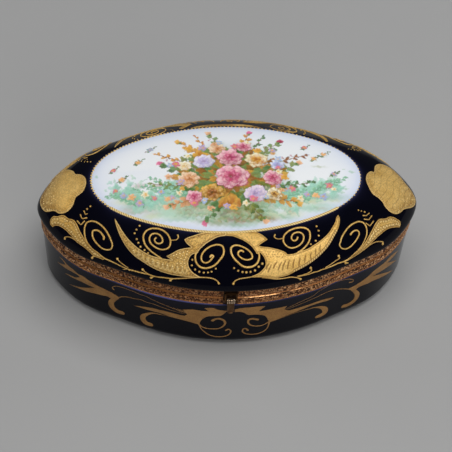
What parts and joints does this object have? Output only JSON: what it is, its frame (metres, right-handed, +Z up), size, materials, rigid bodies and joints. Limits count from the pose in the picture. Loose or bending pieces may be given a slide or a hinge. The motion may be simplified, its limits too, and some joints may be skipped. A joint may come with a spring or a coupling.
{
  "type": "jewellery casket",
  "caption": "Serpentine oval porcelain casket with a domed lid hinged at the back, gilt-metal rims and a small hasp that holds it shut at the front.",
  "frame": {"origin": "centre of the underside, in the plane that it stands on", "axes": "+X along the length to the right, -Y to the front with the hasp, +Y to the hinge, +Z up"},
  "size_m": [0.28, 0.17, 0.1035],
  "materials": {
    "blue_glaze": "gloss",
    "rim_gilt": "worn gilt, satin",
    "hasp_metal": "darkened gilt, satin",
    "pin_steel": "aged",
    "plaster": "matt"
  },
  "bodies": {
    "base": {"base_bowl": "blue_glaze", "base_rim_band": "rim_gilt", "base_band_cement": "plaster", "base_inner_lip": "rim_gilt", "hinge_leaf_base": "rim_gilt", "hinge_pin": "pin_steel", "hinge_rivet_base_left": "hasp_metal", "hinge_rivet_base_right": "hasp_metal", "catch_plate": "hasp_metal"},
    "lid": {"lid_dome": "blue_glaze", "lid_rim_band": "rim_gilt", "lid_band_cement": "plaster", "hinge_leaf_lid": "rim_gilt", "hinge_rivet_lid_left": "hasp_metal", "hinge_rivet_lid_right": "hasp_metal", "hasp_bracket": "hasp_metal", "hasp_pin": "hasp_metal"},
    "hasp": {"hasp_tongue": "hasp_metal"}
  },
  "joints": [
    {"name": "lid_hinge", "type": "hinge", "parent": "base", "child": "lid", "pos_m": [0, 0.0828, 0.05875], "axis": [-1, 0, 0], "range_deg": [0, 100]},
    {"name": "hasp_swing", "type": "hinge", "parent": "lid", "child": "hasp", "pos_m": [-0.003, -0.0825, 0.0605], "axis": [-1, 0, 0], "range_deg": [0, 105]}
  ]
}
